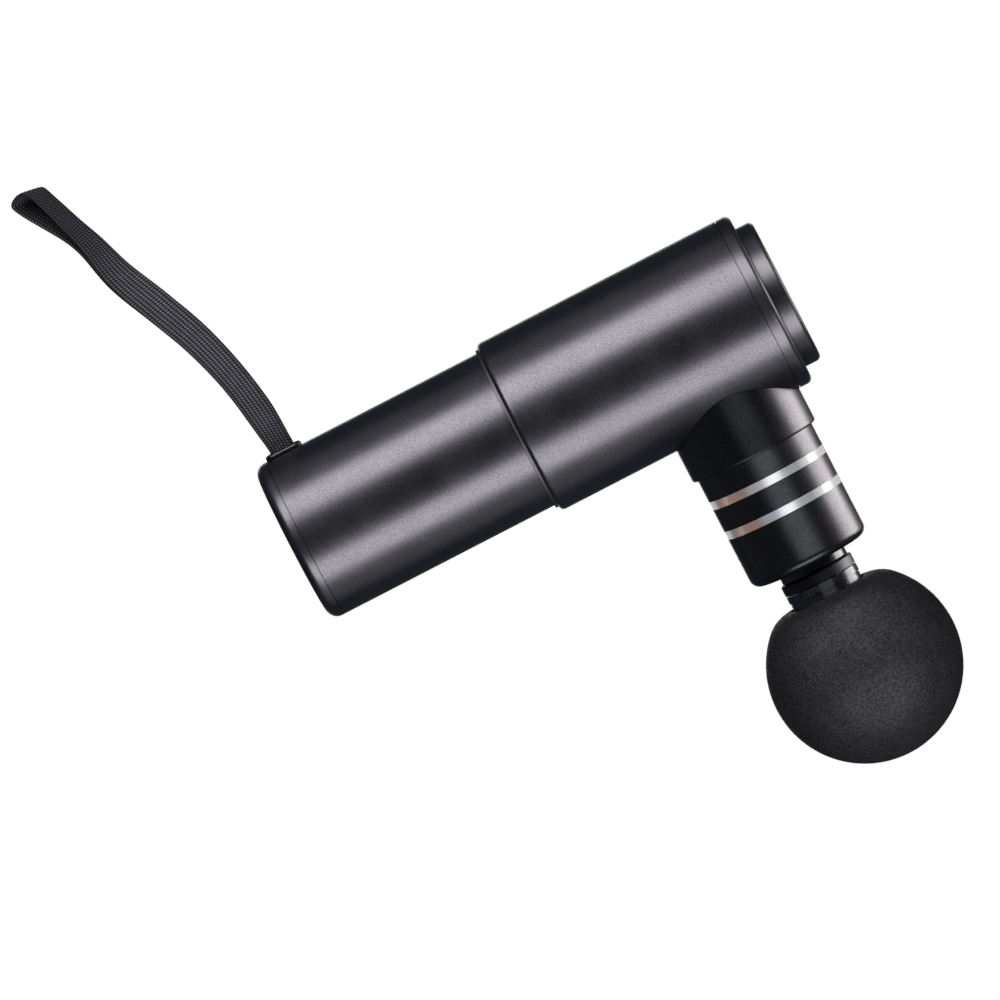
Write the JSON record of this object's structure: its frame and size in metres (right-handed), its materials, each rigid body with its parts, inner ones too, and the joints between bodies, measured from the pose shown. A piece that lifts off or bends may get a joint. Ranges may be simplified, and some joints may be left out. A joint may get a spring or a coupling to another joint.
{
  "type": "massage gun",
  "caption": "Compact right-angle massage gun with a tubular grip, a round front dial, a reciprocating foam ball head and a wrist strap.",
  "frame": {"origin": "centre of the flat rear face, on the axis of the grip and motor", "axes": "+X from the rear face along the body to the front dial, -Z down the neck to the ball head, +Y completes a right-handed frame"},
  "size_m": [0.1628, 0.0494, 0.2269],
  "materials": {
    "grip_metal": "fine blasted and black anodised",
    "cap_metal": "smooth black anodised",
    "neck_metal": "satin black anodised",
    "bright_trim": "polished",
    "black_plastic": "matt black",
    "gloss_black": "glossy black",
    "black_rubber": "matt black rubber",
    "foam": "fine-grained matt foam",
    "webbing": "knitted black webbing",
    "lens": "clear moulded",
    "steel": "ground steel",
    "frame_alloy": "as cast",
    "inner_plastic": "moulded dark grey",
    "cell_wrap": "shrink sleeve",
    "board": "green solder mask",
    "chip": "moulded black epoxy",
    "copper": "enamelled copper wire",
    "bronze": "sintered bronze",
    "laminations": "stacked electrical steel",
    "magnet": "nickel plated",
    "film": "amber polyimide film",
    "red_wire": "silicone wire"
  },
  "bodies": {
    "shell": {"rear_cap": "cap_metal", "usb_socket": "steel", "usb_tongue": "black_plastic", "charge_light": "lens", "charge_board": "board", "grip_tube": "grip_metal", "strap_grommet": "black_plastic", "strap_anchor": "steel", "strap_tail": "webbing", "battery_cells": "cell_wrap", "battery_holder": "inner_plastic", "nickel_strips": "magnet", "battery_leads": "red_wire", "seam_ring": "black_rubber", "joiner_ring": "inner_plastic", "control_board": "board", "board_components": "chip", "motor_housing": "grip_metal", "drive_frame": "frame_alloy", "motor_base": "frame_alloy", "motor_bearings": "steel", "stator_core": "laminations", "stator_windings": "copper", "phase_wires": "copper", "motor_screws": "steel", "chamber_cover": "frame_alloy", "cover_screws": "steel", "guide_sleeve": "bronze", "wiper_seal": "black_rubber", "neck_tube": "inner_plastic", "neck_collar": "neck_metal", "head_barrel": "neck_metal", "trim_rings": "bright_trim", "front_ring": "cap_metal", "dial_board": "board", "dial_cable": "film", "push_switch": "chip", "dial_spring": "steel"},
    "rotor": {"rotor_bell": "laminations", "rotor_magnets": "magnet", "motor_shaft": "steel", "crank_disc": "steel", "crank_pin": "steel"},
    "plunger": {"plunger": "gloss_black", "wrist_pin": "steel"},
    "rod": {"connecting_rod": "frame_alloy", "big_end_bearing": "steel", "small_end_bush": "bronze"},
    "ball_head": {"head_washer": "black_rubber", "head_stem": "gloss_black", "stem_o_rings": "black_rubber", "foam_ball": "foam"},
    "dial_carrier": {"dial_carrier": "inner_plastic", "encoder": "steel"},
    "dial": {"encoder_shaft": "steel", "speed_dial": "cap_metal"},
    "strap": {"strap": "webbing"}
  },
  "joints": [
    {"name": "crank_spin", "type": "hinge", "parent": "shell", "child": "rotor", "pos_m": [0.1, 0, 0], "axis": [1, 0, 0], "continuous": true},
    {"name": "percussion", "type": "slide", "parent": "shell", "child": "plunger", "axis": [0, 0, -1], "range_m": [0, 0.007]},
    {"name": "rod_swing", "type": "hinge", "parent": "plunger", "child": "rod", "pos_m": [0.11325, 0, -0.0245], "axis": [1, 0, 0], "range_deg": [-7.2, 7.2]},
    {"name": "head_release", "type": "slide", "parent": "plunger", "child": "ball_head", "axis": [0, 0, -1], "range_m": [0, 0.024]},
    {"name": "dial_press", "type": "slide", "parent": "shell", "child": "dial_carrier", "axis": [-1, 0, 0], "range_m": [0, 0.0008], "stiffness_N_per_m": 2500, "springref_m": -0.0004, "deforming": ["dial_spring"]},
    {"name": "dial_turn", "type": "hinge", "parent": "dial_carrier", "child": "dial", "pos_m": [0.1345, 0, 0], "axis": [1, 0, 0], "continuous": true},
    {"name": "strap_swing", "type": "hinge", "parent": "shell", "child": "strap", "pos_m": [0.0088, 0, 0.0236], "axis": [1, 0, 0], "range_deg": [-80, 80]}
  ]
}
